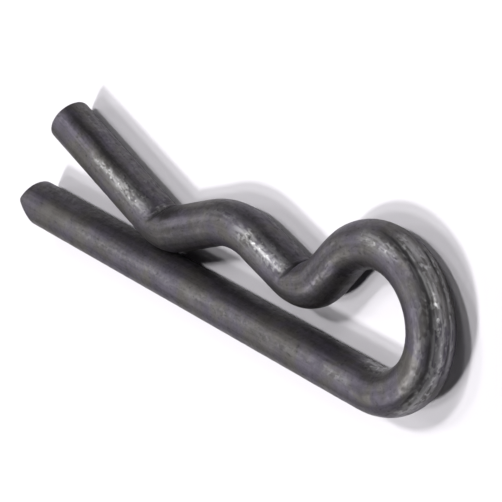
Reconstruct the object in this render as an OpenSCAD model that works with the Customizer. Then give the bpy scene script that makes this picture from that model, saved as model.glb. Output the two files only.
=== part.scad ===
// Hitch R clip, also called a spring cotter: one length of round spring
// wire, bent in a single plane.
//
// The straight leg goes through the cross hole of a hitch pin or shaft.
// The wire turns back on itself in an open eye, dips towards the leg at the
// throat, rises in a hump that seats round the shaft, closes on the leg at
// the mouth and kicks out at the tip, so that the clip can be pushed on.
//
// The clip lies flat. +Z is up, and the origin is the centre of the eye, on
// the surface that the clip rests on. The leg runs along -X, and the arm is
// on its +Y side. Sizes are in millimetres, and angles are in degrees.

/* [Wire] */
// Diameter of the round wire
wire_d = 4.5; // [3:0.1:6]
// How much bending thins the wire, taken off its radius
neck = 0.02; // [0.01:0.01:0.04]
// Length of the clip along its straight leg, from the leg's cut to the outside of the eye
overall_l = 60; // [52:0.5:90]

/* [Eye] */
// Inside diameter of the eye
eye_d = 8.8; // [7.2:0.1:14]

/* [Throat] */
// Angle to the leg at which the wire runs from the eye down to the throat
throat_slope = 54; // [42:1:66]
// Clear gap between the arm and the leg at the throat
throat_gap = 1.7; // [0.2:0.1:3]
// Inside radius of the throat bend
throat_r = 1.8; // [1:0.1:3]

/* [Hump] */
// Angle to the leg at which the hump rises from the throat
rear_slope = 17; // [12:1:30]
// Inside radius of the hump, which seats on the shaft
seat_r = 6.5; // [4:0.1:12]
// Clear height between the leg and the inside of the hump
seat_gap = 3.8; // [3:0.1:6]
// Angle to the leg at which the hump falls to the mouth
front_slope = 25.5; // [20:0.5:32]

/* [Mouth and tip] */
// Clear gap between the arm and the leg at the mouth, where the relaxed clip closes
mouth_gap = 0.1; // [0.1:0.1:1]
// Inside radius of the mouth bend
mouth_r = 2; // [1:0.1:4]
// Angle to the leg at which the tip kicks out
kick_slope = 19; // [10:1:35]
// Distance by which the tip stops short of the leg's cut, along the leg
tip_setback = 4.6; // [2:0.1:7]

/* [Cut ends] */
// Lean of the leg's cut, which leaves its outer side the longer
cut_lean = 20; // [0:1:30]
// Tilt of the leg's point, which is sheared off on the outer upper side
point_tilt = 55; // [40:1:70]
// Direction of the point round the leg, from the outer side up to the top
point_roll = 45; // [0:5:90]
// Distance from the wire's axis at which the point meets the leg's cut
point_from_axis = 1; // [0.4:0.1:1.4]

/* [Hidden] */
$fn = 72;
steel = [0.27, 0.265, 0.26];

// Radius of the straight wire, and of the thinner wire in a bend
wire_r = wire_d / 2;
bend_wire_r = wire_r - neck;

// Length over which a run's end is eased, so that it ends inside its bend
ease = 6 * neck;

// Radii of the bends, to the wire's centreline
eye_rc = eye_d / 2 + bend_wire_r;
throat_rc = throat_r + bend_wire_r;
seat_rc = seat_r + bend_wire_r;
mouth_rc = mouth_r + bend_wire_r;

// Distances from the leg's centreline to the arm's, where each bend runs level
throat_h = wire_r + throat_gap + bend_wire_r;
seat_h = wire_r + seat_gap + bend_wire_r;
mouth_h = wire_r + mouth_gap + bend_wire_r;

// Fall of a bend's centreline, from level to a slope
function fall(radius, slope) = radius * (1 - cos(slope));

// Straight runs that take the arm from one of those distances to the next
throat_run = (eye_rc * (1 + cos(throat_slope)) - fall(throat_rc, throat_slope) - throat_h)
    / sin(throat_slope);
rear_run = (seat_h - throat_h - fall(throat_rc + seat_rc, rear_slope)) / sin(rear_slope);
front_run = (seat_h - mouth_h - fall(seat_rc + mouth_rc, front_slope)) / sin(front_slope);

// Straight leg, from its cut to the eye's first point
leg_l = overall_l - eye_rc - bend_wire_r;

// Wire left on past the leg's cut, for the cut to remove
spare = wire_d;
cutter = 4 * wire_d;

// The wire from the leg to the mouth. A run is [length], and a bend is
// [centreline radius, turn], where a positive turn is to the left.
FORM = [
    [leg_l + spare],
    [eye_rc, 180 + throat_slope],
    [throat_run],
    [throat_rc, -throat_slope - rear_slope],
    [rear_run],
    [seat_rc, rear_slope + front_slope],
    [front_run],
    [mouth_rc, -front_slope - kick_slope]
];

// A place on the wire is [x, y, heading]
START = [-leg_l - spare, -eye_rc, 0];

// Place at the end of a run that starts at place p
function along(p, length) = [p.x + length * cos(p.z), p.y + length * sin(p.z), p.z];

// Place at the end of a bend that starts at place p
function round_bend(p, radius, turn) = [
    p.x + sign(turn) * radius * (sin(p.z + turn) - sin(p.z)),
    p.y - sign(turn) * radius * (cos(p.z + turn) - cos(p.z)),
    p.z + turn
];

// Place at which step i of the form starts
function place(i) = i == 0 ? START
    : len(FORM[i - 1]) == 1 ? along(place(i - 1), FORM[i - 1][0])
    : round_bend(place(i - 1), FORM[i - 1][0], FORM[i - 1][1]);

// The tip's run goes from the mouth bend to its own square cut
tip_start = place(len(FORM));
tip_l = (tip_start.x + leg_l - tip_setback) / cos(kick_slope);

// Sets children down at a place on the wire, with their +X along it
module at_place(p) {
    translate([p.x, p.y, wire_r])
        rotate(p.z)
            children();
}

// Straight wire from the origin along +X, eased at both ends to below the
// surface of the bend that it runs into
module run(length) {
    eased_r = wire_r - 2 * neck;
    rotate([0, 90, 0])
        rotate_extrude()
            polygon([
                [0, 0],
                [eased_r, 0],
                [wire_r, ease],
                [wire_r, length - ease],
                [eased_r, length],
                [0, length]
            ]);
}

// Bent wire that leaves the origin along +X. It laps into the run at each
// end, by the eased length on the inside of the bend.
module bend(radius, turn) {
    lap = ease / (radius - wire_r) * 180 / PI;
    first = turn > 0 ? -90 : 90 + turn;
    translate([0, sign(turn) * radius, 0])
        rotate_extrude(start = first - lap, angle = abs(turn) + 2 * lap)
            translate([radius, 0])
                circle(bend_wire_r);
}

// The wire as it is bent, with its leg still too long
module bent_wire() {
    for (i = [0 : len(FORM) - 1])
        at_place(place(i))
            if (len(FORM[i]) == 1) run(FORM[i][0]);
            else bend(FORM[i][0], FORM[i][1]);
    at_place(tip_start)
        run(tip_l);
}

// Half space on the +X side of the origin
module beyond() {
    translate([0, -cutter / 2, -cutter / 2])
        cube(cutter);
}

// What the leg's cut and its sheared point take away, seen from the leg's
// end: +X points out of the leg, and +Y to the outer side of the clip
module leg_cuts() {
    rotate(-cut_lean)
        beyond();
    rotate([point_roll, 0, 0])
        translate([0, point_from_axis, 0])
            rotate(point_tilt)
                beyond();
}

module r_clip() {
    color(steel)
        difference() {
            bent_wire();
            at_place([-leg_l, -eye_rc, 180])
                leg_cuts();
        }
}

r_clip();
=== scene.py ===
# %% [markdown]
# # Hitch R clip
# An R clip is one length of spring wire. Its straight leg goes through the
# cross hole of a pin, and its humped arm snaps over the outside, so the pin
# can't work loose. Forming rollers bend it from drawn wire. It is then
# hardened, which leaves the blue-black skin, and oiled.
#
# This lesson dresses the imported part. The part already says how big the clip
# is and where it lies, so the look is built straight on top of it.

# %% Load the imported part
import math

import bpy
import numpy as np
from mathutils import Matrix, Quaternion, Vector


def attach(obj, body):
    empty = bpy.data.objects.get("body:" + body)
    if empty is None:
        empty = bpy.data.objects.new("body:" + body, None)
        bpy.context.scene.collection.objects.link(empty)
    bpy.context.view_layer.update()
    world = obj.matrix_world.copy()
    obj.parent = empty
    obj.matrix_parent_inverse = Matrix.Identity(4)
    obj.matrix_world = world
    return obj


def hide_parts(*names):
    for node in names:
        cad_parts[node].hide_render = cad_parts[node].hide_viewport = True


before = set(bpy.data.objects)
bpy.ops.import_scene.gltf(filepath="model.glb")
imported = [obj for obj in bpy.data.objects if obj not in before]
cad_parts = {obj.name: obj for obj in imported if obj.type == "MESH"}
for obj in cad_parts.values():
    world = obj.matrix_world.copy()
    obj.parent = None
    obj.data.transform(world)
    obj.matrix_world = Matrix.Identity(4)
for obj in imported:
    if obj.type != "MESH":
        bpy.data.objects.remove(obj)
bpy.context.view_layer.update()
MM = 0.001


# %% [markdown]
# ## The sizes of the wire
# The exact sizes belong to the part's own source, which this script can't
# read. They are written out once more here, in millimetres and degrees, and
# everything below is worked out from them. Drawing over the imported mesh
# instead would keep its flat facets, and those would show in the highlights.

# %% Sizes of the wire
WIRE_R = 2.25          # radius of the straight wire
BEND_WIRE_R = 2.23     # bending thins the wire a little
EYE_R = 6.63           # bend radii, to the middle of the wire
THROAT_R = 4.03
HUMP_R = 8.73
MOUTH_R = 4.23
THROAT_H = 6.18        # arm's distance from the leg, middle to middle
HUMP_H = 8.28
MOUTH_H = 4.58
THROAT_SLOPE = 54      # slopes of the arm's straight runs against the leg
REAR_SLOPE = 17
FRONT_SLOPE = 25.5
KICK_SLOPE = 19
LEG_L = 51.14          # straight wire of the leg, up to the eye
TIP_SETBACK = 4.6      # how far the tip stops short of the leg's cut
print(f"{2 * WIRE_R} mm wire, a leg of {LEG_L} mm, and bends of {THROAT_R} to {HUMP_R} mm radius")

# %% [markdown]
# ## The bend table
# A wire bender works from a table: feed this much, bend this far. The same
# table draws the middle line here. A curve object with a round bevel would
# do it too, but it hides the place of each point along and around the wire,
# and the marks that forming leaves are laid out by exactly those two numbers.

# %% Straight runs of the arm
def fall(radius, slope):
    """How far a bend carries the wire sideways while it turns through a slope."""
    return radius * (1 - math.cos(math.radians(slope)))


def rise(height, slope):
    """Length of straight wire that climbs a height at a slope."""
    return height / math.sin(math.radians(slope))


throat_run = rise(EYE_R * (1 + math.cos(math.radians(THROAT_SLOPE)))
                  - fall(THROAT_R, THROAT_SLOPE) - THROAT_H, THROAT_SLOPE)
rear_run = rise(HUMP_H - THROAT_H - fall(THROAT_R + HUMP_R, REAR_SLOPE), REAR_SLOPE)
front_run = rise(HUMP_H - MOUTH_H - fall(HUMP_R + MOUTH_R, FRONT_SLOPE), FRONT_SLOPE)
print(f"straight runs: {throat_run:.2f}, {rear_run:.2f} and {front_run:.2f} mm")

# %% Bend table
# (name, length of a straight run or radius of a bend, turn to the left)
FORM = [
    ("leg", LEG_L, 0),
    ("eye", EYE_R, 180 + THROAT_SLOPE),
    ("throat_run", throat_run, 0),
    ("throat", THROAT_R, -THROAT_SLOPE - REAR_SLOPE),
    ("rear_run", rear_run, 0),
    ("hump", HUMP_R, REAR_SLOPE + FRONT_SLOPE),
    ("front_run", front_run, 0),
    ("mouth", MOUTH_R, -FRONT_SLOPE - KICK_SLOPE),
    ("tip", None, 0),
]

# Each step becomes (name, first s, last s, x, y, heading, curvature), where
# s is the distance along the wire from the leg's cut.
steps = []
s, x, y, heading = 0.0, -LEG_L, -EYE_R, 0.0
for name, size, turn in FORM:
    if size is None:
        size = (x + LEG_L - TIP_SETBACK) / math.cos(math.radians(KICK_SLOPE))
    angle = math.radians(turn)
    length = size * abs(angle) if turn else size
    bend = math.copysign(1 / size, turn) if turn else 0.0
    steps.append((name, s, s + length, x, y, heading, bend))
    if turn:
        x += (math.sin(heading + angle) - math.sin(heading)) / bend
        y -= (math.cos(heading + angle) - math.cos(heading)) / bend
    else:
        x += length * math.cos(heading)
        y += length * math.sin(heading)
    heading += angle
    s += length
WIRE_L = s
begins = {name: first for name, first, *_ in steps}
print(f"wire {WIRE_L:.1f} mm long:", {name: round(first, 2) for name, first in begins.items()})


# %% Points on the middle line
def middle_line(s):
    """x, y and heading at distances s, which may run past either end."""
    out = np.zeros((3, len(s)))
    everywhere = np.full(len(s), True)
    for i, (_, first, last, x, y, heading, bend) in enumerate(steps):
        begun = s >= first if i > 0 else everywhere
        not_over = s < last if i < len(steps) - 1 else everywhere
        here = begun & not_over
        d = s[here] - first
        if bend:
            turned = heading + d * bend
            out[0, here] = x + (np.sin(turned) - math.sin(heading)) / bend
            out[1, here] = y - (np.cos(turned) - math.cos(heading)) / bend
        else:
            turned = np.full(len(d), heading)
            out[0, here] = x + d * math.cos(heading)
            out[1, here] = y + d * math.sin(heading)
        out[2, here] = turned
    return out


hump_top = begins["hump"] + HUMP_R * math.radians(REAR_SLOPE)
top_x, top_y, _ = middle_line(np.array([hump_top]))[:, 0]
print(f"the hump's top is {top_y + EYE_R:.2f} mm from the leg, middle to middle, at x {top_x:.2f}")

# %% [markdown]
# ## Seeded noise on the wire's skin
# Every mark below is a small depth taken off the wire at a place given by
# two numbers: s, the distance along it, and the angle round it. Random marks
# come from a lattice of seeded random values that is joined up round the
# wire, so no seam shows, and that gives the same wire on every run. A noise
# texture in a material could only fake these marks with bump.

# %% Noise along and round the wire
ROWS_BEFORE = 5        # rows of the lattice that lie before the leg's cut
SPARE_ROWS = 12        # rows that it has beyond the wire's length, both ends together


def eased(t):
    """0 to 1 with a soft start and a soft stop, held at both ends."""
    t = np.clip(t, 0, 1)
    return t * t * (3 - 2 * t)


def skin_noise(s, angle, cell, cells_round, seed):
    """Smooth noise from -1 to 1, in cells of a length along the wire and a count round it."""
    rng = np.random.default_rng(seed)
    rows = int(WIRE_L / cell) + SPARE_ROWS
    lattice = rng.uniform(-1, 1, (rows, cells_round))
    u = s / cell + ROWS_BEFORE
    v = angle / (2 * np.pi) * cells_round
    i, j = np.floor(u).astype(int), np.floor(v).astype(int)
    a, b = eased(u - i), eased(v - j)
    i, j = np.clip(i, 0, rows - 2), j % cells_round
    k = (j + 1) % cells_round
    return ((lattice[i, j] * (1 - b) + lattice[i, k] * b) * (1 - a)
            + (lattice[i + 1, j] * (1 - b) + lattice[i + 1, k] * b) * a)


sample_s, sample_angle = np.meshgrid(
    np.linspace(0, WIRE_L, 800), np.linspace(0, 2 * np.pi, 100), indexing="ij")
sample = skin_noise(sample_s, sample_angle, cell=2.0, cells_round=8, seed=1)
print(f"a sample of the noise runs from {sample.min():.2f} to {sample.max():.2f}")


# %% Fades and hills
def between(s, first, last, fade):
    """1 between two distances along the wire, fading to 0 outside them."""
    return eased((s - first) / fade + 0.5) * eased((last - s) / fade + 0.5)


def off_angle(angle, middle):
    """Signed angle from a middle given in degrees, from -pi to pi."""
    return (angle - np.radians(middle) + np.pi) % (2 * np.pi) - np.pi


def bump_of(distance, width):
    """A rounded hill, 1 at its middle and about 0 at its width from it."""
    return np.exp(-(2 * distance / width) ** 2)


def measure(name, marks):
    """Prints how deep a kind of mark goes, and how far it stands proud, over the sample."""
    depth = marks(sample_s, sample_angle)
    print(f"{name}: up to {depth.max():.3f} mm deep and {max(0.0, -depth.min()):.3f} mm proud")


print("a hill 1 mm wide, half a millimetre from its middle:", bump_of(0.5, 1.0).round(2))

# %% [markdown]
# ## Marks that forming leaves
# The eye is wound round a pin, and the roller that pushes the wire round it
# presses long tracks into its outer side. At the throat and the mouth the
# wire is bent so tightly that its inner side puckers into a fold. These are
# real changes of shape, up to a quarter of a millimetre deep, so they are cut
# into the mesh. Sculpting them would do as well, but a line of sizes for each
# mark is easier to tune.

# %% Roller tracks round the eye
TRACK_ORIGIN = 64.0    # s at which each track lies at the angle given for it
TRACK_WANDER = 2.2     # degrees that it wavers either way
TRACK_FADE = 3.0       # length over which it starts and stops
# (angle, turn per mm, width, depth, first s, last s)
TRACKS = [
    (138, 1.1, 0.52, 0.130, 56.5, 72.0),
    (168, 1.2, 0.36, 0.060, 62.0, 68.5),
    (185, 1.8, 0.44, 0.105, 58.5, 71.0),
    (214, -1.0, 0.55, 0.045, 56.0, 69.0),
    (118, -2.5, 0.45, 0.022, 64.5, 73.5),
]


def roller_tracks(s, angle):
    """Depth of the tracks, in mm."""
    depth = np.zeros_like(s)
    for i, (middle, drift, width, deep, first, last) in enumerate(TRACKS):
        wavering = skin_noise(s, np.zeros_like(s), cell=2.6, cells_round=4, seed=40 + i)
        followed = angle - np.radians(drift * (s - TRACK_ORIGIN) + TRACK_WANDER * wavering)
        across = off_angle(followed, middle) * WIRE_R
        pressed = 0.68 + 0.32 * skin_noise(s, angle, cell=0.9, cells_round=24, seed=60 + i)
        depth += deep * pressed * bump_of(across, width) * between(s, first, last, TRACK_FADE)
    return depth


measure("roller tracks", roller_tracks)

# %% Folds inside the throat and the mouth
INNER_SIDE = 180       # angle that faces the inside of both bends
LEAN_REACH = 62        # degrees round from there at which a fold has moved by its full lean
FOLD_RAGGED = 0.10     # how far it strays either way, in mm
LIP_BESIDE = 0.95      # how far its lip lies from it, in widths of the fold
# (s on the inner side, lean along the wire, width, depth, lip, reach round in degrees)
FOLDS = [
    (84.55, 1.1, 0.60, 0.230, 0.015, 78),          # throat
    (104.75, 1.5, 0.55, 0.240, 0.045, 74),         # mouth
]


def inner_folds(s, angle):
    """Depth of the folds, in mm. A lip beside a fold stands proud, so its depth is negative."""
    depth = np.zeros_like(s)
    for i, (middle, lean, width, deep, lip, reach) in enumerate(FOLDS):
        away = np.abs(off_angle(angle, INNER_SIDE))
        moved = lean * np.minimum(away / np.radians(LEAN_REACH), 1.2) ** 1.3
        ragged = FOLD_RAGGED * skin_noise(s, angle, cell=0.7, cells_round=30, seed=80 + i)
        along = s - middle - moved + ragged
        # Whole near the inner side, half gone a little short of its reach.
        here = eased(1.35 - away / np.radians(reach))
        depth += deep * here * bump_of(along, width)
        depth -= lip * here * bump_of(along - LIP_BESIDE * width, width)
    return depth


measure("folds", inner_folds)

# %% Nicks and dents
STREWN = 90            # small ones over the whole wire, besides those listed
# (s, angle, length along, width round, depth)
NICKS = [
    (104.1, 34, 0.50, 0.45, 0.060),                # mouth
    (91.4, 121, 0.46, 0.42, 0.130),                # end of the rear run
    (63.2, 139, 0.55, 0.40, 0.050),                # eye
    (66.9, 172, 0.80, 0.35, 0.050),                # eye
    (64.7, 170, 0.60, 0.40, 0.045),                # eye
    (61.8, 165, 0.50, 0.35, 0.040),                # eye
    (48.6, 70, 1.90, 0.45, 0.030),                 # leg, next to the eye
    (12.0, 62, 0.90, 0.40, 0.025),                 # leg
    (52.4, 76, 1.40, 0.40, 0.025),                 # eye, next to the leg
    (26.5, 74, 1.20, 0.40, 0.022),                 # leg
    (70.3, 128, 1.10, 0.50, 0.030),                # eye, towards the throat
    (112.3, 108, 0.45, 0.35, 0.030),               # tip
]


def nicks(s, angle):
    """Depth of the nicks, in mm."""
    rng = np.random.default_rng(7)
    strewn = [(rng.uniform(1, WIRE_L - 1), rng.uniform(0, 360), rng.uniform(0.3, 1.6),
               rng.uniform(0.25, 0.45), rng.uniform(0.008, 0.024)) for _ in range(STREWN)]
    depth = np.zeros_like(s)
    for middle, at, length, width, deep in NICKS + strewn:
        near = np.abs(s - middle) < 2 * length
        across = off_angle(angle[near], at) * WIRE_R
        depth[near] += deep * bump_of(s[near] - middle, length) * bump_of(across, width)
    return depth


measure("nicks", nicks)

# %% [markdown]
# ## The skin of drawn wire
# Drawing pulls the wire through a die, which scores it lengthwise. The heat of
# hardening then leaves a thin scale that flakes off in spots. Both are only
# hundredths of a millimetre deep, yet they break up every highlight. Bump in
# the material could draw them too, but cut into the mesh they stay with the
# wire wherever its mesh goes, and bump is left for what is finer still.

# %% Scores, waves and flaked scale
SCORE_DEPTH = 0.004    # depths in mm
WAVE_DEPTH = 0.006
GRAIN_DEPTH = 0.0045
FLAKE_DEPTH = 0.010


def two_noises(s, angle, coarse, fine, fine_share):
    """A coarse noise and a share of a finer one, each (cell, cells round, seed)."""
    return skin_noise(s, angle, *coarse) + fine_share * skin_noise(s, angle, *fine)


def drawn_skin(s, angle):
    """Depth of the skin's own texture, in mm."""
    scores = two_noises(s, angle, coarse=(9.0, 44, 11), fine=(4.0, 80, 12), fine_share=0.7)
    waves = two_noises(s, angle, coarse=(3.2, 7, 13), fine=(1.5, 13, 14), fine_share=0.6)
    grain = two_noises(s, angle, coarse=(0.55, 26, 15), fine=(0.30, 48, 16), fine_share=0.7)
    flakes = eased(3 * skin_noise(s, angle, cell=0.8, cells_round=20, seed=17) - 0.9)
    return (SCORE_DEPTH * scores + WAVE_DEPTH * waves + GRAIN_DEPTH * grain
            + FLAKE_DEPTH * flakes)


measure("drawn skin", drawn_skin)

# %% All the relief, and the wire under it
LEAST_RELIEF = 0.014   # keeps nearly all of the skin's grain below the exact wire
NECK_FADE = 0.6        # length over which the wire thins on its way into a bend


def relief(s, angle):
    """Everything that forming and drawing took off the wire, in mm."""
    return (roller_tracks(s, angle) + inner_folds(s, angle) + nicks(s, angle)
            + LEAST_RELIEF + drawn_skin(s, angle))


def wire_radius(s):
    """The wire's radius, which necks down slightly in each bend."""
    necked = np.zeros_like(s)
    for _, first, last, *_, bend in steps:
        if bend:
            necked = np.maximum(necked, between(s, first, last, NECK_FADE))
    return WIRE_R - (WIRE_R - BEND_WIRE_R) * necked


measure("all the relief", relief)
print("radius in the leg and in the eye:", wire_radius(np.array([LEG_L / 2, TRACK_ORIGIN])))

# %% [markdown]
# ## The two cut ends
# The leg is cropped at a slant and sheared to a blunt point, which helps it
# find the hole. The tip is cropped square. A cropping tool first rolls the
# edge over, then burnishes a band, and tears the rest, so a cut face is part
# smooth and part rough. A boolean cut would be shorter to write, but it leaves
# a razor edge and slivers that shade badly. So each end is a set of rings that
# shrink to one point, set in or out by a formula for the cut.

# %% Texture of a cropped face
DENTS = 34             # soft hollows and hills on each face
DENT_DEPTH = 0.022     # scale of their depth, in mm
TORN_DEPTH = 0.03      # how far the torn part lies below the burnished one
TORN_FROM = -0.6       # height on the face where the tearing starts
TORN_FADE = 0.8        # and over how much height it sets in
SMOOTH_SHARE = 0.25    # how much the dents show where it is burnished


def torn_face(across, up, seed):
    """How deep a cropped face's texture goes, in mm: burnished low down, torn higher up."""
    rng = np.random.default_rng(seed)
    uneven = np.zeros_like(across)
    for _ in range(DENTS):
        a, b = rng.uniform(-WIRE_R, WIRE_R, 2)
        far = np.hypot(across - a, (up - b) * 0.6)
        uneven += rng.uniform(-1, 1) * bump_of(far, rng.uniform(0.5, 1.3))
    torn = eased((up - TORN_FROM) / TORN_FADE)
    return DENT_DEPTH * uneven * (SMOOTH_SHARE + torn) + TORN_DEPTH * torn


face_x, face_y = np.meshgrid(np.linspace(-1.5, 1.5, 60), np.linspace(-1.5, 1.5, 60))
face_depth = torn_face(face_x, face_y, seed=21)
print(f"a cropped face's texture runs from {face_depth.min():.3f} to {face_depth.max():.3f} mm deep")

# %% Faces of the cut ends
CUT_LEAN = 20          # slant of the leg's cropped face
POINT_TILT = 55        # slant of its sheared face
POINT_ROLL = 45        # the way it looks, turned from the outer side towards the top
POINT_FROM_AXIS = 1.15 # where it crosses s = 0, from the wire's middle
CORNER_BLEND = 0.45    # how softly the two faces meet
TIP_INSIDE = 0.02      # keeps the tip's torn face inside the exact one


def soft_least(a, b, blend):
    """The lesser of two lengths, with the corner between them rounded off."""
    h = np.clip(0.5 + 0.5 * (b - a) / blend, 0, 1)
    return b + (a - b) * h - blend * h * (1 - h)


def leg_face(radius, angle):
    """How far the leg's cut faces lie beyond s = 0, out of the leg."""
    outer, up = -radius * np.cos(angle), radius * np.sin(angle)
    roll = math.radians(POINT_ROLL)
    towards_point = outer * math.cos(roll) + up * math.sin(roll)
    slant = outer * math.tan(math.radians(CUT_LEAN))
    point = (POINT_FROM_AXIS - towards_point) * math.tan(math.radians(POINT_TILT))
    return soft_least(slant, point, CORNER_BLEND) - torn_face(outer, up, seed=21)


def tip_face(radius, angle):
    """How far the tip's cut face lies beyond the tip's own end."""
    across, up = radius * np.cos(angle), radius * np.sin(angle)
    return -TIP_INSIDE - torn_face(across, up, seed=22)


rim_angle = np.linspace(0, 2 * np.pi, 100)
leg_rim = leg_face(WIRE_R, rim_angle)
print(f"the leg's rim lies {leg_rim.min():.2f} to {leg_rim.max():.2f} mm beyond s = 0")

# %% [markdown]
# ## Wrap the skin round the middle line
# The rings of the leg's face, the wire's side and the tip's face make one
# closed grid: each row is a ring of points round the wire. Where a cut leans,
# the rows next to it lean too and straighten up further along. A curve's own
# bevel sets every ring square to the wire, so it can't do that.

# %% Rows of a cut face
GRID_AROUND = 112      # points in each row round the wire
FACE_RINGS = 13
RIM_RINGS = 4
RIM = 0.06             # how far the edges are rolled over, in mm
ring_angle = np.arange(GRID_AROUND) / GRID_AROUND * 2 * np.pi


def face_rows(face):
    """Rows from a face's middle to its rolled rim: how far out, radius, and share of the relief."""
    made = []
    for k in range(1, FACE_RINGS + 1):
        radius = np.full(GRID_AROUND, (WIRE_R - RIM) * k / FACE_RINGS)
        made.append((face(radius, ring_angle), radius, 0.0))
    for k in range(1, RIM_RINGS + 1):
        roll = math.pi / 2 * k / (RIM_RINGS + 1)
        radius = np.full(GRID_AROUND, WIRE_R - RIM + RIM * math.sin(roll))
        out = face(radius, ring_angle) - RIM * (1 - math.cos(roll))
        made.append((out, radius, k / (RIM_RINGS + 1)))
    return made


leg_rows = face_rows(leg_face)
tip_rows = face_rows(tip_face)
print(len(leg_rows), "rows for the leg's face and", len(tip_rows), "for the tip's")

# %% Rows of the whole wire
STATION_GAP = 0.145    # from row to row along the wire, in mm
LEAN_OUT = 4.5         # length over which the leaning rows straighten up
full_radius = np.full(GRID_AROUND, WIRE_R)
first_side = -leg_face(full_radius, ring_angle) + RIM
last_side = WIRE_L + tip_face(full_radius, ring_angle) - RIM
lean_rows = round(LEAN_OUT / STATION_GAP)
plain_rows = round((WIRE_L - 2 * LEAN_OUT) / STATION_GAP)

side = [first_side + (LEAN_OUT - first_side) * k / lean_rows for k in range(lean_rows)]
side += [np.full(GRID_AROUND, at) for at in np.linspace(LEAN_OUT, WIRE_L - LEAN_OUT, plain_rows)]
side += [WIRE_L - LEAN_OUT + (last_side - WIRE_L + LEAN_OUT) * k / lean_rows
         for k in range(1, lean_rows + 1)]

# (s of each point, radius of each point, share of the relief that shows)
rows = [(-out, radius, shown) for out, radius, shown in leg_rows]
rows += [(s_here, wire_radius(s_here), 1.0) for s_here in side]
rows += [(WIRE_L + out, radius, shown) for out, radius, shown in reversed(tip_rows)]
ROWS = len(rows)
print(f"{ROWS} rows of {GRID_AROUND} points, {2 * ROWS * GRID_AROUND} triangles")

# %% Points of the grid
row_s, row_radius, row_shown = zip(*rows)
grid_s = np.array(row_s)
grid_angle = np.tile(ring_angle, (ROWS, 1))
grid_radius = np.array(row_radius) - relief(grid_s, grid_angle) * np.array(row_shown)[:, None]
centre_x, centre_y, grid_heading = (v.reshape(grid_s.shape) for v in middle_line(grid_s.ravel()))
sideways = grid_radius * np.cos(grid_angle)
upwards = grid_radius * np.sin(grid_angle)
grid_points = np.stack([
    centre_x - sideways * np.sin(grid_heading),
    centre_y + sideways * np.cos(grid_heading),
    WIRE_R + upwards,
], axis=-1)
unbent = np.stack([grid_s, sideways, upwards], axis=-1)
poles = grid_points[[0, -1]].mean(axis=1)
unbent_poles = unbent[[0, -1]].mean(axis=1)
print("lowest point", round(grid_points[..., 2].min(), 3), "mm above the ground")

# %% Faces of the grid
leg_pole = ROWS * GRID_AROUND
tip_pole = leg_pole + 1
point_at = np.arange(ROWS * GRID_AROUND).reshape(ROWS, GRID_AROUND)
after = np.roll(point_at, -1, axis=1)
quads = np.stack([point_at[:-1], after[:-1], after[1:], point_at[1:]], axis=-1).reshape(-1, 4)
leg_fan = np.stack([np.full(GRID_AROUND, leg_pole), after[0], point_at[0]], axis=-1)
tip_fan = np.stack([np.full(GRID_AROUND, tip_pole), point_at[-1], after[-1]], axis=-1)

mesh = bpy.data.meshes.new("bent_wire")
mesh.from_pydata(
    (np.concatenate([grid_points.reshape(-1, 3), poles]) * MM).tolist(), [],
    quads.tolist() + leg_fan.tolist() + tip_fan.tolist())
mesh.shade_smooth()
bent_wire = bpy.data.objects.new("bent_wire", mesh)
bpy.context.scene.collection.objects.link(bent_wire)
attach(bent_wire, "root")
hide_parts("r_clip")
print("bent wire:", len(mesh.vertices), "points,", len(mesh.polygons), "faces")

# %% [markdown]
# ## Numbers that the finish reads
# The finish needs to know where it is along and round the wire, and where
# forming left its marks. Both are stored on the mesh as attributes. The
# straightened place makes a pattern follow the wire round every bend, which
# object coordinates can't do.

# %% Straightened place and grooves
FULL_GROOVE = 0.09     # depth in mm at which a groove is darkened fully


def store(name, kind, values, poles_too):
    """Keeps one value for each point of the grid, and for its two poles."""
    layer = mesh.attributes.new(name, kind, "POINT")
    width = values.shape[-1] if kind == "FLOAT_VECTOR" else 1
    flat = np.concatenate([values.reshape(-1, width), np.reshape(poles_too, (2, width))])
    layer.data.foreach_set("vector" if width > 1 else "value", flat.astype(np.float32).ravel())


grid_grooved = np.clip((roller_tracks(grid_s, grid_angle) + nicks(grid_s, grid_angle)
                        + inner_folds(grid_s, grid_angle)) / FULL_GROOVE, 0, 1)
store("straightened", "FLOAT_VECTOR", unbent, unbent_poles)
store("grooved", "FLOAT", grid_grooved[..., None], (0, 0))
print("points at least half grooved:", int((grid_grooved > 0.5).sum()))

# %% [markdown]
# ## Worn places, painted highlights and painted shade
# Handling, and the pins that the clip slides over, rub the scale thin, and
# there the colour is paler bare steel. The same bands also carry painted
# highlights and painted reflections: on the eye's outer side, along the top of
# the leg, along the top and the outer side of the arm, low down on the sides
# that face away from the leg, and on one spot inside the eye, the colour is
# made brighter where the lamps and the white sheet shine on the wire. Painted
# shade makes the colour darker where little light reaches: on the sides of the
# leg and the arm that face each other, inside the eye, in the throat and the
# mouth, and in a stripe between the highlights that stands for the dark room
# mirrored in the wire. Painting the mesh would do as well, but the paint is
# lost when the grid changes.

# %% Worn places and painted highlights
BAND_WANDER = 0.07     # how far a band wavers either way, in radians
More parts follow.
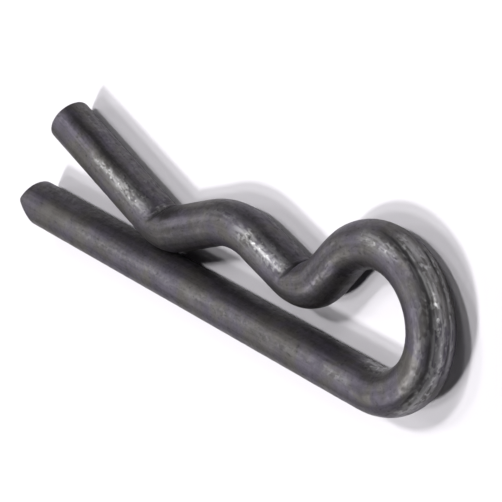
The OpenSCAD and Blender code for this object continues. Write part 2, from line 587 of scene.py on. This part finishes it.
# Each band makes the colour paler: worn steel, and painted highlights where the lamps shine on the
# wire. The bands low down away from the leg, and the one inside the eye, are painted reflections.
# (first s, last s, fade, angle, turn per mm, width in degrees, strength)
WEAR_AND_HIGHLIGHTS = [
    (86.2, 93.2, 2.4, 119, -2.0, 46, 0.58),        # rear run
    (87.4, 91.4, 2.0, 119, -2.0, 20, 0.78),        # rear run, its brightest streak
    (107.5, 112.5, 3.0, 122, -0.6, 44, 0.48),      # tip, next to the mouth
    (108.5, 115.8, 4.0, 114, 0.6, 19, 0.72),       # tip, its brightest streak
    (69.5, 73.5, 2.0, 122, 1.0, 32, 0.55),         # eye, towards the throat
    (55.5, 65.0, 3.0, 154, 1.0, 36, 1.00),         # eye's outer side
    (64.0, 70.5, 3.0, 160, 1.4, 44, 0.85),         # eye's outer side
    (57.0, 67.0, 4.0, 118, 0.0, 28, 0.24),         # eye, nearer its top
    (60.0, 69.0, 3.0, 195, 1.2, 24, 0.65),         # eye's outer side, low down
    (47.0, 50.5, 1.5, 74, 0.0, 18, 0.35),          # leg, next to the eye
    (50.0, 56.5, 2.0, 0, 3.0, 46, 1.00),           # inside the eye
    (92.5, 97.0, 3.0, 128, 0.0, 34, 0.25),         # hump
    (105.4, 106.9, 0.6, 160, 0.0, 36, 0.40),       # mouth
    (8.0, 46.0, 6.0, 74, 0.0, 20, 0.16),           # leg, along its top
    (84.0, 98.0, 3.0, 205, 0.0, 50, 0.28),         # throat to hump, low down, away from the leg
    (106.0, 122.0, 4.0, 200, 0.0, 60, 0.34),       # tip, low down, away from the leg
]


def bands(table, s, angle, first_seed):
    """The strongest of a table's bands at each place, and 0 where there is none."""
    most = np.zeros_like(s)
    for i, (first, last, fade, at, turn, width, strength) in enumerate(table):
        wavering = skin_noise(s, np.zeros_like(s), cell=2.0, cells_round=4, seed=first_seed + i)
        followed = angle - np.radians(turn * (s - 0.5 * (first + last))) + BAND_WANDER * wavering
        across = bump_of(off_angle(followed, at), np.radians(width))
        most = np.maximum(most, strength * across * between(s, first, last, fade))
    return most


grid_wear_and_highlight = bands(WEAR_AND_HIGHLIGHTS, grid_s, grid_angle, first_seed=90)
store("wear_and_highlight", "FLOAT", grid_wear_and_highlight[..., None], (0, 0))
print("points rubbed by a third or more:", int((grid_wear_and_highlight > 1 / 3).sum()))

# %% Painted shade
# Each band makes the colour darker as painted shade where little light reaches the wire. The bands
# on the tip, the hump and the throat that face away from the leg are a painted dark reflection of
# the room.
# (first s, last s, fade, angle, turn per mm, width in degrees, strength)
PAINTED_SHADE_BANDS = [
    (107.0, 122.0, 3.0, 146, 0.0, 27, 1.00),       # tip, away from the leg
    (91.0, 97.5, 3.0, 160, -1.0, 42, 0.95),        # hump, away from the leg
    (84.8, 91.0, 1.0, 150, 0.0, 44, 1.00),         # throat and rear run, away from the leg
    (57.5, 71.5, 2.0, 139, 1.1, 17, 0.70),         # eye, along its main track
    (76.0, 87.5, 3.0, 42, 0.0, 108, 1.00),         # throat, towards the leg
    (69.0, 78.0, 3.0, 40, 0.0, 74, 0.65),          # inside the eye
    (98.5, 107.5, 3.0, 42, 0.0, 100, 0.95),        # front run and mouth, towards the leg
    (101.5, 106.8, 1.5, 148, 0.0, 64, 1.00),       # mouth, on its inner side
    (102.6, 104.6, 0.8, 150, 0.0, 70, 1.80),       # mouth, just before its fold
    (2.0, 48.0, 5.0, -12, 0.0, 96, 1.00),          # leg, towards the arm
    (91.0, 99.0, 3.0, 30, 0.0, 70, 0.50),          # hump, towards the leg
    (51.0, 58.5, 3.0, 52, 0.0, 50, 0.45),          # inside the eye
]
grid_painted_shade = bands(PAINTED_SHADE_BANDS, grid_s, grid_angle, first_seed=70)
store("painted_shade", "FLOAT", grid_painted_shade[..., None], (0, 0))
print("points scaled by a third or more:", int((grid_painted_shade > 1 / 3).sum()))

# %% [markdown]
# ## A flat map of the skin
# When the finish is baked to an image, each face needs its own place on a
# square sheet. The wire's side is a tube nine times as long as it is round,
# so it is slit along one line and laid down as three strips, and the two cut
# faces lie beside them as discs. An automatic unwrap would scatter it in
# hundreds of islands, each with a seam.

# %% Strips and discs of the map
STRIPS = 3
ROUND = 2 * math.pi * WIRE_R
MAP_GAP = 0.45         # between strips, in mm of wire
END_ROWS = FACE_RINGS + RIM_RINGS
face_rings = [(WIRE_R - RIM) * k / FACE_RINGS for k in range(1, FACE_RINGS + 1)]
rim_rings = [WIRE_R - RIM * (1 - math.pi / 2 * k / (RIM_RINGS + 1))
             for k in range(1, RIM_RINGS + 2)]
rings = np.array(face_rings + rim_rings)
MAP_WIDTH = STRIPS * (ROUND + MAP_GAP) + 2 * rings[-1] + 2 * MAP_GAP
cuts = np.linspace(END_ROWS, ROWS - 1 - END_ROWS, STRIPS + 1).round().astype(int)


def on_disc(ring_radius, column, tip):
    """Places on the leg's disc, a quarter of the way up, or the tip's, three quarters up."""
    turn = column / GRID_AROUND * 2 * np.pi
    middle_x = MAP_WIDTH - MAP_GAP - rings[-1]
    middle_y = MAP_WIDTH * (0.25 + 0.5 * tip)
    return np.stack([middle_x + ring_radius * np.cos(turn),
                     middle_y + ring_radius * np.sin(turn)], axis=-1) / MAP_WIDTH


print(f"map {MAP_WIDTH:.1f} mm wide, its strips cut at rows {cuts.tolist()}")

# %% A place on the map for every corner
quad_row = np.repeat(np.arange(ROWS - 1), GRID_AROUND)[:, None]
corner_row = quad_row + (0, 0, 1, 1)
corner_column = np.tile(np.arange(GRID_AROUND), ROWS - 1)[:, None] + (0, 1, 1, 0)
strip = np.clip(np.searchsorted(cuts, quad_row, side="right") - 1, 0, STRIPS - 1)
strip_left = MAP_GAP + strip * (ROUND + MAP_GAP)
margin = MAP_GAP / MAP_WIDTH
on_strip = np.stack([
    (strip_left + corner_column / GRID_AROUND * ROUND) / MAP_WIDTH,
    margin + (corner_row - cuts[strip]) / (cuts[strip + 1] - cuts[strip]) * (1 - 2 * margin),
], axis=-1)
in_tip = quad_row >= cuts[-1]
ring = np.clip(np.where(in_tip, ROWS - 1 - corner_row, corner_row), 0, END_ROWS)
on_end = (quad_row < cuts[0]) | in_tip
quad_map = np.where(on_end[..., None], on_disc(rings[ring], corner_column, in_tip), on_strip)

fan_radius = np.tile([0, rings[0], rings[0]], (GRID_AROUND, 1))
fan_column = np.arange(GRID_AROUND)[:, None]
leg_fan_map = on_disc(fan_radius, fan_column + (0, 1, 0), 0)
tip_fan_map = on_disc(fan_radius, fan_column + (0, 0, 1), 1)
flat_map = np.concatenate([m.reshape(-1, 2) for m in (quad_map, leg_fan_map, tip_fan_map)])
mesh.uv_layers.new(name="OFBake").uv.foreach_set("vector", flat_map.astype(np.float32).ravel())
print("map spans", flat_map.min(axis=0).round(3), "to", flat_map.max(axis=0).round(3))

# %% [markdown]
# ## Patterns as node groups
# Streaks, mottling and flecks are each needed more than once, at different
# sizes, on the drawn skin and on the cropped ends. Each is a node group with
# named inputs, so a finish says how big its pattern is. Copies of the same
# nodes in each finish would look no different, but a change would then have to
# be made in every copy. Sizes are in millimetres of real wire.

# %% Start the group for streaks
def add(tree, kind, links=(), **values):
    """Adds a node, sets its properties and inputs by name, and links (output, input name) pairs."""
    node = tree.nodes.new("ShaderNode" + kind)
    for name, value in values.items():
        if hasattr(node, name):
            setattr(node, name, value)
        else:
            node.inputs[name.replace("_", " ")].default_value = value
    for output, name in links:
        tree.links.new(output, node.inputs[name])
    return node


def new_group(name, sizes, result):
    """An empty group with a Place input, some named sizes and one result."""
    group = bpy.data.node_groups.new(name, "ShaderNodeTree")
    group.interface.new_socket("Place", in_out="INPUT", socket_type="NodeSocketVector")
    for label, default in sizes.items():
        socket = group.interface.new_socket(label, in_out="INPUT", socket_type="NodeSocketFloat")
        socket.default_value = default
    group.interface.new_socket(result, in_out="OUTPUT", socket_type="NodeSocketFloat")
    return group, group.nodes.new("NodeGroupInput"), group.nodes.new("NodeGroupOutput")


streaks, inside, out = new_group("Drawn streaks", {"Length": 9.0, "Width": 0.25}, "Streaks")
print("sockets of the streaks:", [socket.name for socket in streaks.interface.items_tree])


# %% Streaks left by the drawing die
def math_node(tree, operation, a, b):
    """One step of arithmetic, where a and b are outputs or plain numbers."""
    node = tree.nodes.new("ShaderNodeMath")
    node.operation = operation
    for i, value in enumerate((a, b)):
        if isinstance(value, (int, float)):
            node.inputs[i].default_value = value
        else:
            tree.links.new(value, node.inputs[i])
    return node.outputs[0]


def ramp(tree, value, low, high, to_low=0.0, to_high=1.0):
    """value from low..high taken to to_low..to_high, and held at both ends."""
    node = add(tree, "MapRange", [(value, "Value")], interpolation_type="SMOOTHSTEP")
    for name, number in (("From Min", low), ("From Max", high),
                         ("To Min", to_low), ("To Max", to_high)):
        node.inputs[name].default_value = number
    return node.outputs[0]


def stretched(tree, place, length, width):
    """A place shrunk by a length along the wire and by a width both ways across it."""
    parts = add(tree, "SeparateXYZ", [(place, "Vector")])
    along = math_node(tree, "DIVIDE", parts.outputs["X"], length)
    across = math_node(tree, "DIVIDE", parts.outputs["Y"], width)
    above = math_node(tree, "DIVIDE", parts.outputs["Z"], width)
    return add(tree, "CombineXYZ", [(along, "X"), (across, "Y"), (above, "Z")]).outputs[0]


drawn = stretched(streaks, inside.outputs["Place"], inside.outputs["Length"],
                  inside.outputs["Width"])
noise = add(streaks, "TexNoise", [(drawn, "Vector")], Scale=1.0, Detail=3.0, Roughness=0.6)
streaks.links.new(ramp(streaks, noise.outputs["Fac"], low=0.3, high=0.7), out.inputs[0])
print("streaks:", len(streaks.nodes), "nodes")

# %% Mottling of scale and oil
mottle, inside, out = new_group("Oiled mottle", {"Size": 1.5, "Contrast": 0.2}, "Mottle")
size_each_way = add(mottle, "CombineXYZ", [(inside.outputs["Size"], axis) for axis in "XYZ"])
shrunk = add(mottle, "VectorMath", [(inside.outputs["Place"], 0), (size_each_way.outputs[0], 1)],
             operation="DIVIDE")
noise = add(mottle, "TexNoise", [(shrunk.outputs[0], "Vector")], Scale=1.0, Detail=4.0,
            Roughness=0.58, Distortion=0.6)
centred = math_node(mottle, "SUBTRACT", noise.outputs["Fac"], 0.5)
spread = math_node(mottle, "DIVIDE", centred, inside.outputs["Contrast"])
shifted = math_node(mottle, "ADD", spread, 0.5)
mottle.links.new(ramp(mottle, shifted, low=0.0, high=1.0), out.inputs[0])
print("mottling:", len(mottle.nodes), "nodes")

# %% Flecks where the scale has come off
EDGE_AT_NO_COVER = 0.72    # noise above this shows as a fleck when the cover is 0
EDGE_DROP = 0.4            # how far a cover of 1 lowers that edge
flecks, inside, out = new_group("Bare flecks", {"Size": 0.3, "Length": 0.6, "Cover": 0.2},
                                "Flecks")
flaked = stretched(flecks, inside.outputs["Place"], inside.outputs["Length"],
                   inside.outputs["Size"])
noise = add(flecks, "TexNoise", [(flaked, "Vector")], Scale=1.0, Detail=1.0, Roughness=0.55)
lowered = math_node(flecks, "MULTIPLY", inside.outputs["Cover"], EDGE_DROP)
edge = math_node(flecks, "SUBTRACT", EDGE_AT_NO_COVER, lowered)
over = math_node(flecks, "SUBTRACT", noise.outputs["Fac"], edge)
flecks.links.new(ramp(flecks, over, low=-0.09, high=0.13), out.inputs[0])
print("flecks:", len(flecks.nodes), "nodes")

# %% [markdown]
# ## The hardened, oiled skin
# Dark scale over steel is neither bare metal nor paint. It scatters some
# light and mirrors some, so the finish is set about halfway to metal. Its
# colour is darker in the grooves, folds, nicks and pinholes, and darker in the
# bands of painted shade. It is paler and brighter where the clip is worn to
# bare steel, and in the bands of painted highlight. Several shaders mixed by
# masks could show the same, but one shader whose colour, metal and roughness
# follow the masks is simpler to tune and bakes to plain images.

# %% Patterns of the skin
def use(tree, group, place, **sizes):
    """Places a group in a material and returns its result."""
    node = tree.nodes.new("ShaderNodeGroup")
    node.node_tree = group
    tree.links.new(place, node.inputs["Place"])
    for name, value in sizes.items():
        node.inputs[name].default_value = value
    return node.outputs[0]


def combine(tree, operation, *parts):
    """Joins (output, weight) pairs, each output times its weight, by ADD or MAXIMUM."""
    total, *others = [math_node(tree, "MULTIPLY", output, weight) for output, weight in parts]
    for other in others:
        total = math_node(tree, operation, total, other)
    return total


steel = bpy.data.materials.new("hardened_steel")
steel.use_nodes = True
tree = steel.node_tree
bsdf = tree.nodes["Principled BSDF"]
place = add(tree, "Attribute", attribute_name="straightened").outputs["Vector"]
fine_streaks = use(tree, streaks, place, Length=7.0, Width=0.22)
broad_streaks = use(tree, streaks, place, Length=12.0, Width=0.9)
cloud = use(tree, mottle, place, Size=2.4, Contrast=0.35)
tint = use(tree, mottle, place, Size=3.2, Contrast=0.25)
wide_patches = use(tree, mottle, place, Size=0.75, Contrast=0.4)
small_patches = use(tree, mottle, place, Size=0.3, Contrast=0.4)
patches = combine(tree, "ADD", (wide_patches, 0.6), (small_patches, 0.4))
spots = use(tree, flecks, place, Size=0.50, Length=0.85, Cover=0.52)
dashes = use(tree, flecks, place, Size=0.42, Length=2.2, Cover=0.54)
glints = use(tree, flecks, place, Size=0.40, Length=0.48, Cover=0.40)
bare = combine(tree, "MAXIMUM", (spots, 0.60), (dashes, 0.80), (glints, 1.25))
pinholes = use(tree, flecks, place, Size=0.30, Length=0.5, Cover=0.10)
print("patterns of the skin:", len(tree.nodes), "nodes")

# %% Colours of the skin
# Red, green and blue as shares of the light that they send back.
COOL_DARK = (0.0200, 0.0168, 0.0260)
COOL_PALE = (0.0768, 0.0675, 0.0905)
WARM_DARK = (0.0215, 0.0185, 0.0175)
WARM_PALE = (0.0765, 0.0710, 0.0665)
# Painted shade: the colour laid where little light reaches the wire.
PAINTED_SHADE_COLOUR = (0.0125, 0.0105, 0.012)
# Bare steel is also the colour of the painted highlights.
BARE_STEEL_AND_HIGHLIGHT = (0.30, 0.298, 0.30)
# A dark colour for the grooves, folds, nicks and pinholes.
HOLLOW_DARK = (0.012, 0.011, 0.012)


def blend_colours(tree, share, first, second):
    """A mix of two colours, each an output or an (r, g, b)."""
    node = tree.nodes.new("ShaderNodeMix")
    node.data_type = "RGBA"
    tree.links.new(share, node.inputs[0])
    for i, value in ((6, first), (7, second)):
        if isinstance(value, tuple):
            node.inputs[i].default_value = (*value, 1)
        else:
            tree.links.new(value, node.inputs[i])
    return node.outputs[2]


tone = combine(tree, "ADD", (cloud, 0.25), (patches, 0.32), (fine_streaks, 0.26),
               (broad_streaks, 0.22))
cool = blend_colours(tree, tone, COOL_DARK, COOL_PALE)
warm = blend_colours(tree, tone, WARM_DARK, WARM_PALE)
skin_colour = blend_colours(tree, tint, cool, warm)

# Painted shade darkens the colour in its bands, ragged by the streaks and patches.
painted_shade_mask = add(tree, "Attribute", attribute_name="painted_shade").outputs["Fac"]
ragged = math_node(tree, "ADD", broad_streaks, patches)
shade_kept = ramp(tree, ragged, low=0.5, high=1.5, to_low=1.0, to_high=0.45)
shade_strength = math_node(tree, "MULTIPLY", painted_shade_mask, shade_kept)
shaded_colour = blend_colours(tree, shade_strength, skin_colour, PAINTED_SHADE_COLOUR)
print("with the skin's own colours:", len(tree.nodes), "nodes")

# %% Worn steel, painted highlights and darkened grooves
EVEN_WEAR_AND_HIGHLIGHT = 0.12        # share of the wear and painted highlight that shows between the flecks as well
# Towards bare steel where the clip is worn, and for the painted highlights.
wear_and_highlight_mask = add(tree, "Attribute", attribute_name="wear_and_highlight").outputs["Fac"]
in_flecks = math_node(tree, "MULTIPLY", bare, 1 - EVEN_WEAR_AND_HIGHLIGHT)
wear_and_highlight_share = math_node(tree, "ADD", EVEN_WEAR_AND_HIGHLIGHT, in_flecks)
wear_and_highlight_spots = math_node(tree, "MULTIPLY", wear_and_highlight_mask, wear_and_highlight_share)
with_wear_and_highlights = blend_colours(tree, wear_and_highlight_spots, shaded_colour, BARE_STEEL_AND_HIGHLIGHT)

# Darker in the grooves, folds and nicks, and in scattered pinholes.
groove_mask = add(tree, "Attribute", attribute_name="grooved").outputs["Fac"]
in_grooves = ramp(tree, groove_mask, low=0.35, high=1.1)
darkened = combine(tree, "MAXIMUM", (in_grooves, 0.85), (pinholes, 0.6))
colour = blend_colours(tree, darkened, with_wear_and_highlights, HOLLOW_DARK)
tree.links.new(colour, bsdf.inputs["Base Color"])
print("with rubbed steel and dirt:", len(tree.nodes), "nodes")

# %% Metal, roughness and bump
metal = ramp(tree, wear_and_highlight_spots, low=0.0, high=0.8, to_low=0.50, to_high=0.65)
tree.links.new(metal, bsdf.inputs["Metallic"])
bsdf.inputs["Specular IOR Level"].default_value = 0.4
scale_rough = ramp(tree, patches, low=0.0, high=1.0, to_low=0.56, to_high=0.42)
darkened_rough = math_node(tree, "MULTIPLY", darkened, 0.22)
dull = math_node(tree, "ADD", scale_rough, darkened_rough)
gloss = math_node(tree, "MULTIPLY", wear_and_highlight_spots, 0.16)
tree.links.new(math_node(tree, "SUBTRACT", dull, gloss), bsdf.inputs["Roughness"])

height = combine(tree, "ADD", (fine_streaks, 0.5), (bare, 0.5), (patches, 0.6))
bump = add(tree, "Bump", [(height, "Height")], Strength=0.6, Distance=0.012 * MM)
tree.links.new(bump.outputs["Normal"], bsdf.inputs["Normal"])
mesh.materials.append(steel)
print("hardened steel:", len(tree.nodes), "nodes")

# %% [markdown]
# ## The cropped ends
# The cropped faces are dark grey steel: a little lighter and rougher than the
# skin, torn in patches, and without its streaks. One finish with a mask could
# cover both, but a mask would blur the sharp line where the skin ends. So the
# ends have a finish of their own, which shares the skin's patterns at other
# sizes.

# %% Cropped steel
CUT_DARK = (0.030, 0.028, 0.030)
CUT_PALE = (0.105, 0.100, 0.101)
CUT_SHINE = (0.20, 0.195, 0.19)
cropped = bpy.data.materials.new("cropped_steel")
cropped.use_nodes = True
tree = cropped.node_tree
bsdf = tree.nodes["Principled BSDF"]
place = add(tree, "Attribute", attribute_name="straightened").outputs["Vector"]
torn = use(tree, mottle, place, Size=0.9, Contrast=0.6)
stain = use(tree, mottle, place, Size=2.2, Contrast=0.4)
shine = use(tree, flecks, place, Size=0.5, Length=0.5, Cover=0.35)
face_tone = combine(tree, "ADD", (torn, 0.5), (stain, 0.5))
face_colour = blend_colours(tree, face_tone, CUT_DARK, CUT_PALE)
shine_share = math_node(tree, "MULTIPLY", shine, 0.5)
tree.links.new(blend_colours(tree, shine_share, face_colour, CUT_SHINE),
               bsdf.inputs["Base Color"])
bsdf.inputs["Metallic"].default_value = 0.6
torn_rough = ramp(tree, torn, low=0.0, high=1.0, to_low=0.58, to_high=0.44)
tree.links.new(torn_rough, bsdf.inputs["Roughness"])
bump = add(tree, "Bump", [(torn, "Height")], Strength=0.5, Distance=0.02 * MM)
tree.links.new(bump.outputs["Normal"], bsdf.inputs["Normal"])
mesh.materials.append(cropped)
print("cropped steel:", len(tree.nodes), "nodes")

# %% Which faces are cropped
row_of_quad = np.repeat(np.arange(ROWS - 1), GRID_AROUND)
cropped_rows = FACE_RINGS + 1
finish_of = np.ones(len(mesh.polygons), np.int32)
finish_of[:len(row_of_quad)] = ((row_of_quad < cropped_rows)
                                | (row_of_quad >= ROWS - 1 - cropped_rows))
mesh.polygons.foreach_set("material_index", finish_of)
print("cropped faces:", int(finish_of.sum()))

# %% [markdown]
# ## Camera
# A camera on a stand is set by where it aims, the way round and the height
# that it looks from, how far off it stands, and how far it is rolled over.
# Those plain numbers are kept here. The same could be said with a matrix,
# but nobody can read one. This is a long lens looking down at the clip from
# its eye end, rolled on its side so that the leg runs down to the right.

# %% Camera
SENSOR = 36
LENS = 202.3           # lens and sensor in mm, as on a real camera
AIM = Vector((-17.74, -0.08, WIRE_R)) * MM
LOOKS_FROM = (27.25, 38.45)    # azimuth and elevation in degrees
STANDS_OFF = 260 * MM
ROLL = -101.5


def towards(azimuth, elevation):
    """A unit vector from the clip towards a place given by two angles in degrees."""
    a, e = math.radians(azimuth), math.radians(elevation)
    return Vector((math.cos(a) * math.cos(e), math.sin(a) * math.cos(e), math.sin(e)))


camera_data = bpy.data.cameras.new("camera")
camera_data.sensor_width = SENSOR
camera_data.lens = LENS
camera_data.clip_start = 0.01
camera = bpy.data.objects.new("camera", camera_data)
back = towards(*LOOKS_FROM)
rolled = Quaternion((0, 0, 1), math.radians(ROLL))
facing = (back.to_track_quat("Z", "Y") @ rolled).to_matrix().to_4x4()
camera.matrix_world = Matrix.Translation(AIM + back * STANDS_OFF) @ facing
bpy.context.scene.collection.objects.link(camera)
bpy.context.scene.camera = camera
view_width = SENSOR / LENS * STANDS_OFF / MM
print(f"{LENS} mm lens: the frame is {view_width:.1f} mm wide at the clip")

# %% [markdown]
# ## Floor
# A matt white sheet carries the clip and takes its shadows. It is one large
# face, so its edge stays out of sight unless the view is almost level. A
# curved backdrop is the usual choice in a studio, but it would hide the clip
# from one side.

# %% Floor
FLOOR_HALF = 3.0       # half its width, in metres
SHEET_WHITE = (0.605, 0.587, 0.618)
corners = [(-1, -1), (1, -1), (1, 1), (-1, 1)]
floor_mesh = bpy.data.meshes.new("floor")
floor_mesh.from_pydata([(x * FLOOR_HALF, y * FLOOR_HALF, 0) for x, y in corners], [],
                       [(0, 1, 2, 3)])
floor = bpy.data.objects.new("floor", floor_mesh)
bpy.context.scene.collection.objects.link(floor)
sheet = bpy.data.materials.new("white_sheet")
sheet.use_nodes = True
matt = sheet.node_tree.nodes["Principled BSDF"]
matt.inputs["Base Color"].default_value = (*SHEET_WHITE, 1)
matt.inputs["Roughness"].default_value = 0.9
floor_mesh.materials.append(sheet)
print(f"floor: {2 * FLOOR_HALF} m square")

# %% [markdown]
# ## Softboxes
# Six softboxes stand in an arc from the clip's side to behind it, so the sides
# that face the camera stay dark and the shadows fall towards it. The two
# strong ones, high at the side and behind, throw the two clear shadows, and
# the others fill the gaps between them. A weak card low in front lifts the
# dark side. Area lamps could stand in for the softboxes, but they would need
# a size and a distance each. Sun lamps with a wide disc light the whole clip
# evenly, and their light is the same wherever the camera goes.

# %% Softboxes
# (name, azimuth, elevation, strength, width in degrees)
SOFTBOXES = [
    ("side", 90, 45, 0.5, 12),
    ("high_side", 120, 60, 1.6, 8),
    ("low_side", 150, 50, 0.7, 8),
    ("low_back", 185, 25, 0.7, 12),
    ("high_back", 215, 62, 0.9, 10),
    ("back", 240, 54, 2.4, 8),
    ("front_card", 30, 10, 0.9, 20),
]
for name, azimuth, elevation, strength, width in SOFTBOXES:
    data = bpy.data.lights.new(name, "SUN")
    data.energy = strength
    data.angle = math.radians(width)
    lamp = bpy.data.objects.new(name, data)
    lamp.rotation_mode = "QUATERNION"
    lamp.rotation_quaternion = towards(azimuth, elevation).to_track_quat("Z", "Y")
    bpy.context.scene.collection.objects.link(lamp)
print(len(SOFTBOXES) - 1, "softboxes and a card, with a strength of",
      round(sum(row[3] for row in SOFTBOXES), 2), "together")

# %% [markdown]
# ## The room
# The room itself is nearly dark, so that the clip mirrors little besides the
# softboxes and the sheet, while the camera sees plain white past the floor's
# edge. Light Path tells the two apart. A lit wall could give the same white,
# but it would shine on the clip as well.

# %% Room
ROOM_COLOUR = (0.9, 0.92, 1.0)
ROOM_STRENGTH = 0.03
studio = bpy.data.worlds.new("studio")
bpy.context.scene.world = studio
studio.use_nodes = True
room = studio.node_tree
dim = room.nodes["Background"]
dim.inputs["Color"].default_value = (*ROOM_COLOUR, 1)
dim.inputs["Strength"].default_value = ROOM_STRENGTH
pale = add(room, "Background")
pale.inputs["Color"].default_value = (1, 1, 1, 1)
seen = add(room, "LightPath")
choice = add(room, "MixShader", [(seen.outputs["Is Camera Ray"], 0), (dim.outputs[0], 1),
                                 (pale.outputs[0], 2)])
room.links.new(choice.outputs[0], room.nodes["World Output"].inputs[0])
bpy.context.scene.view_settings.view_transform = "Standard"
print("room light:", ROOM_STRENGTH, "of a white wall's")
